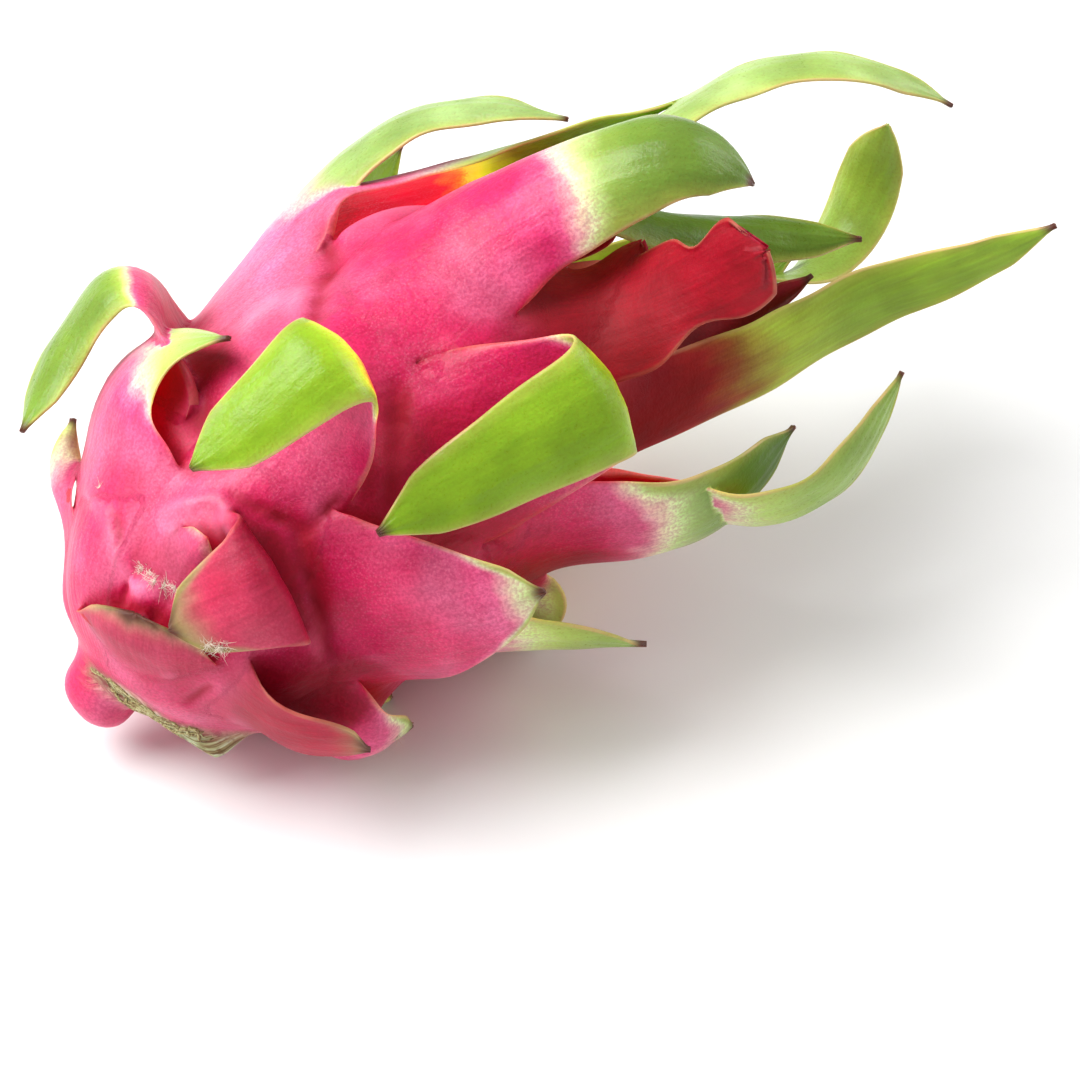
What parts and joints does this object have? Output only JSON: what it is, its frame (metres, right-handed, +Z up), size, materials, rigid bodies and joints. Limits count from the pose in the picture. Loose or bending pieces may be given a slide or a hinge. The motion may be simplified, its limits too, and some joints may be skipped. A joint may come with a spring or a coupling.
{
  "type": "whole dragon fruit",
  "caption": "Whole dragon fruit lying on its side: a plump body under fleshy, leafy, curling scales with a cut stem end.",
  "frame": {"origin": "middle of the small flat spot on the belly that the whole fruit rests on", "axes": "+Z up from the surface, +X from the stem end towards the flower end, +Y towards the fruit's left side"},
  "size_m": [0.2179, 0.1586, 0.121],
  "materials": {
    "fruit": "waxy magenta-pink skin, green scale tips, soft satin sheen"
  },
  "bodies": {
    "root": {"fruit": "fruit"}
  },
  "joints": []
}
